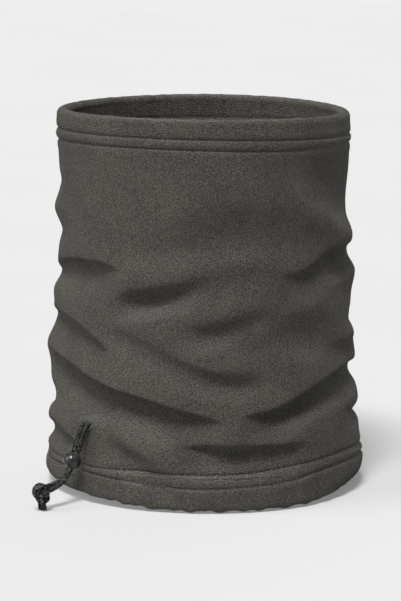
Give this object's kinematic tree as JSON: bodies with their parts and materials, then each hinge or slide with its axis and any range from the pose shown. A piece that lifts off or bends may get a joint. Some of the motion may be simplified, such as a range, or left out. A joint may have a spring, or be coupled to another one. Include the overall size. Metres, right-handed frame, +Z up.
{
  "type": "neck gaiter",
  "caption": "Fleece neck gaiter standing on its hem: a slumped tube with a rolled collar and a bottom drawcord with a ball cord lock.",
  "frame": {"origin": "centre of the base, on the surface that the hem stands on", "axes": "+Z up along the tube towards the collar, -Y the front that shows the cord to its left, +X to the right"},
  "size_m": [0.1698, 0.1662, 0.198],
  "materials": {
    "fleece": "matte",
    "thread": "satin",
    "cord": "matte",
    "lock_plastic": "satin",
    "spring_wire": "satin"
  },
  "bodies": {
    "gaiter": {"body_panel": "fleece", "drawcord_casing": "fleece", "casing_needle_thread_upper": "thread", "casing_needle_thread_lower": "thread", "casing_looper_thread": "thread", "back_seam_allowance": "fleece", "back_seam_thread": "thread", "buttonhole_stitching": "thread", "drawcord_loop": "cord"},
    "collar": {"collar_hem": "fleece", "collar_needle_thread_upper": "thread", "collar_needle_thread_lower": "thread", "collar_looper_thread": "thread"},
    "free_cord": {"cord_strand_left": "cord", "cord_strand_right": "cord", "cord_knot": "cord", "cord_tail_left": "cord", "cord_tail_right": "cord"},
    "cord_lock": {"lock_shell": "lock_plastic", "lock_spring": "spring_wire"},
    "lock_button": {"lock_plunger": "lock_plastic"}
  },
  "joints": [
    {"name": "collar_slide", "type": "slide", "parent": "gaiter", "child": "collar", "axis": [0, 0, 1], "range_m": [-0.05, 0.035], "deforming": ["body_panel", "back_seam_allowance", "back_seam_thread"]},
    {"name": "cord_swing", "type": "hinge", "parent": "gaiter", "child": "free_cord", "pos_m": [-0.06056, -0.05647, 0.0394], "axis": [-0.682, 0.7314, 0], "range_deg": [0, 115]},
    {"name": "lock_slide", "type": "slide", "parent": "free_cord", "child": "cord_lock", "axis": [-0.3409, -0.3179, -0.8847], "range_m": [-0.009, 0.001]},
    {"name": "button_press", "type": "slide", "parent": "cord_lock", "child": "lock_button", "axis": [0.647, 0.6034, -0.4662], "range_m": [0, 0.0007], "stiffness_N_per_m": 200, "springref_m": -0.002, "deforming": ["lock_spring"]}
  ]
}
